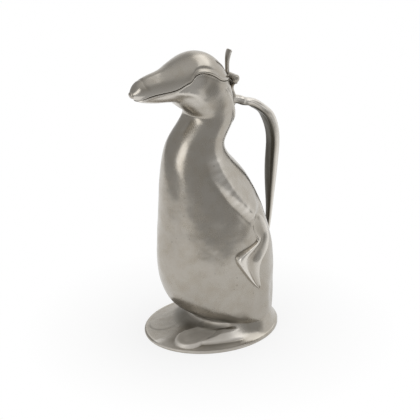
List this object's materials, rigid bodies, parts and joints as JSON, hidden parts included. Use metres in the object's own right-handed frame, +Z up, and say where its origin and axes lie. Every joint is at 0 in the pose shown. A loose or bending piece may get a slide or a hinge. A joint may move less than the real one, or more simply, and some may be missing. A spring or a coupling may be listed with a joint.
{
  "type": "pitcher with lid",
  "caption": "Figural cast pewter jug shaped as a standing auk, with the crown and upper bill as a hinged lid, a bill spout, a strap handle and an oval foot.",
  "frame": {"origin": "centre of the oval foot on its flat underside", "axes": "+Z up, the bird looks along -Y, its left side is +X"},
  "size_m": [0.112, 0.1594, 0.2724],
  "materials": {
    "pewter": "satin aged pewter"
  },
  "bodies": {
    "pitcher": {"body_left_half": "pewter", "body_right_half": "pewter", "foot_plate": "pewter", "bottom_disc": "pewter", "handle": "pewter", "hinge_bracket": "pewter", "hinge_pin": "pewter"},
    "lid": {"lid_shell": "pewter", "lid_leaf": "pewter", "thumb_lift": "pewter"}
  },
  "joints": [
    {"name": "lid_hinge", "type": "hinge", "parent": "pitcher", "child": "lid", "pos_m": [0, 0.01945, 0.24411], "axis": [-1, 0, 0], "range_deg": [0, 130]}
  ]
}
